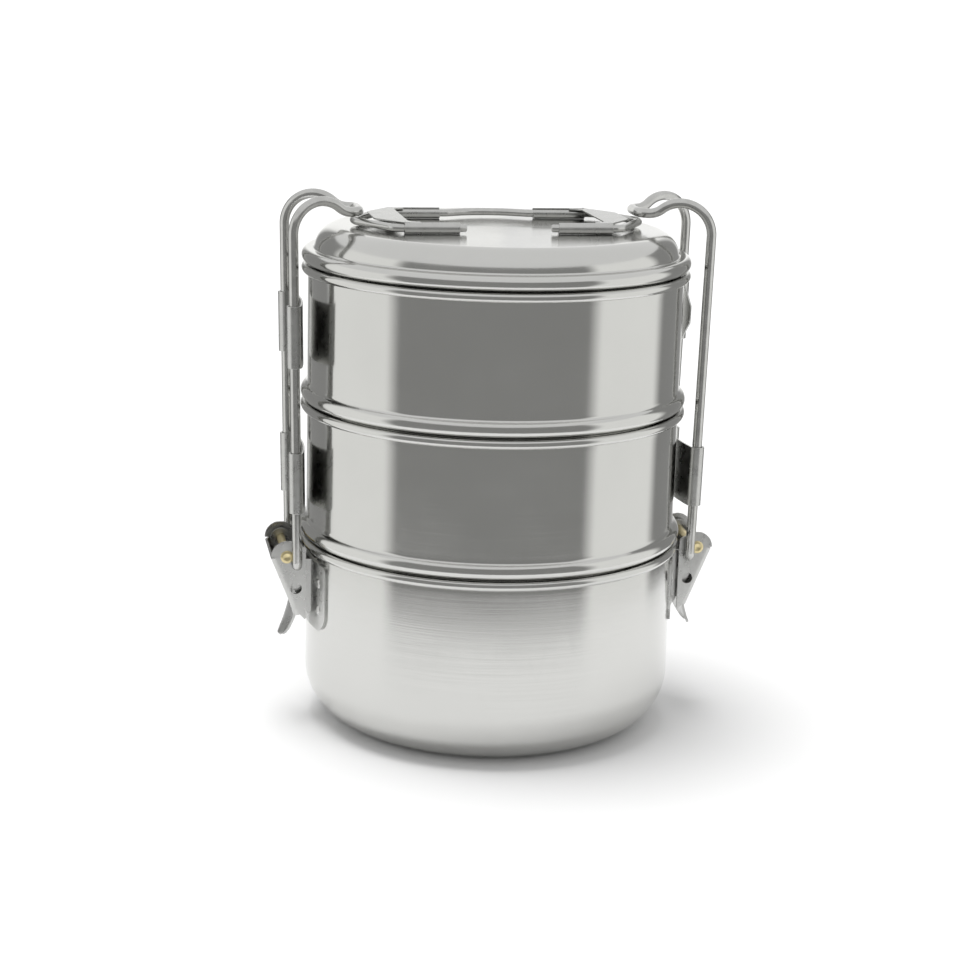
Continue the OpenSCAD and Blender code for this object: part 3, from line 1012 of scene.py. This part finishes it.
def wide_sun(name, heading, strength, spread):
    """Even light from one side of the sky, with soft shadows."""
    lamp = bpy.data.lights.new(name, "SUN")
    lamp.energy = strength
    lamp.angle = math.radians(spread)
    holder = bpy.data.objects.new(name, lamp)
    bpy.context.scene.collection.objects.link(holder)
    holder.rotation_euler = Vector(heading).to_track_quat("-Z", "Y").to_euler()
    holder.visible_glossy = False
    return holder


class CARRIER_OT_stage(bpy.types.Operator):
    """Builds the floor, the ring of cards, the lights and the camera"""

    bl_idname = "carrier.stage"
    bl_label = "Stage"

    def execute(self, context):
        studio = context.scene.carrier_studio
        self.camera(context, studio)
        self.floor()
        self.cards(studio)
        self.surroundings(context, studio)
        wide_sun("window", WINDOW_HEADING, studio.sun, WINDOW_SPREAD)
        context.scene.view_settings.view_transform = "Standard"
        return {"FINISHED"}

    def camera(self, context, studio):
        data = bpy.data.cameras.new("camera")
        data.lens = studio.lens
        data.sensor_width = 36
        data.clip_start = 0.01
        holder = bpy.data.objects.new("camera", data)
        context.scene.collection.objects.link(holder)
        look = CAMERA_AIM.to_track_quat("-Z", "Y").to_matrix().to_4x4()
        roll = Matrix.Rotation(math.radians(CAMERA_ROLL), 4, "Z")
        holder.matrix_world = Matrix.Translation(CAMERA_PLACE) @ look @ roll
        context.scene.camera = holder

    def floor(self):
        bm = bmesh.new()
        bmesh.ops.create_circle(bm, cap_ends=True, segments=64, radius=FLOOR_RADIUS)
        place_on(bm, Matrix.Translation((0, 0, -0.0001)))
        material = bpy.data.materials.new("paper_floor")
        material.use_nodes = True
        shader = material.node_tree.nodes["Principled BSDF"]
        shader.inputs["Base Color"].default_value = (FLOOR_GREY, FLOOR_GREY, FLOOR_GREY, 1)
        shader.inputs["Roughness"].default_value = 0.9
        shader.inputs["Specular IOR Level"].default_value = 0.1
        link(mesh_of(bm, "floor"), "floor", [material])

    def cards(self, studio):
        to_camera = math.atan2(CAMERA_PLACE.y, CAMERA_PLACE.x)
        ring = turned("card_ring", [(studio.ring_radius, studio.ring_height), (studio.ring_radius, 0.0005)],
                      RING_STEPS, 0, card_material(to_camera))
        ring.visible_camera = False
        ring.visible_diffuse = False
        ring.visible_shadow = False
        ring.visible_transmission = False

    def surroundings(self, context, studio):
        world = bpy.data.worlds.new("surroundings")
        world.use_nodes = True
        tree = world.node_tree
        lighting = tree.nodes["Background"]
        lighting.inputs["Color"].default_value = (1, 1, 1, 1)
        lighting.inputs["Strength"].default_value = studio.sky
        seen = tree.nodes.new("ShaderNodeBackground")
        seen.inputs["Color"].default_value = (1, 1, 1, 1)
        seen.inputs["Strength"].default_value = studio.backdrop
        ray = tree.nodes.new("ShaderNodeLightPath").outputs["Is Camera Ray"]
        either = tree.nodes.new("ShaderNodeMixShader")
        tree.links.new(ray, either.inputs[0])
        tree.links.new(lighting.outputs[0], either.inputs[1])
        tree.links.new(seen.outputs[0], either.inputs[2])
        tree.links.new(either.outputs[0], tree.nodes["World Output"].inputs["Surface"])
        context.scene.world = world


PARTS = (CARRIER_OT_base_bowl, CARRIER_OT_stacked_bowls, CARRIER_OT_lid, CARRIER_OT_brackets,
         CARRIER_OT_rivets, CARRIER_OT_levers, CARRIER_OT_arms, CARRIER_OT_clips, CARRIER_OT_handle,
         CARRIER_OT_stage)


class CARRIER_PT_pieces(bpy.types.Panel):
    """Lists the carrier's pieces and its settings"""

    bl_idname = "CARRIER_PT_pieces"
    bl_label = "Food carrier"
    bl_space_type = "VIEW_3D"
    bl_region_type = "UI"
    bl_category = "Carrier"

    def draw(self, context):
        for part in PARTS:
            self.layout.operator(part.bl_idname)
        for settings in (context.scene.carrier_sizes, context.scene.carrier_finishes,
                         context.scene.carrier_studio):
            box = self.layout.box()
            for key in settings.__annotations__:
                box.prop(settings, key)


CLASSES = (CarrierSizes, CarrierFinishes, CarrierStudio, *PARTS, CARRIER_PT_pieces)


def register():
    for cls in CLASSES:
        bpy.utils.register_class(cls)
    bpy.types.Scene.carrier_sizes = PointerProperty(type=CarrierSizes)
    bpy.types.Scene.carrier_finishes = PointerProperty(type=CarrierFinishes)
    bpy.types.Scene.carrier_studio = PointerProperty(type=CarrierStudio)


def unregister():
    del bpy.types.Scene.carrier_studio
    del bpy.types.Scene.carrier_finishes
    del bpy.types.Scene.carrier_sizes
    for cls in reversed(CLASSES):
        bpy.utils.unregister_class(cls)


def main():
    register()
    for part in PARTS:
        group, name = part.bl_idname.split(".")
        getattr(getattr(bpy.ops, group), name)()


if __name__ == "__main__":
    main()
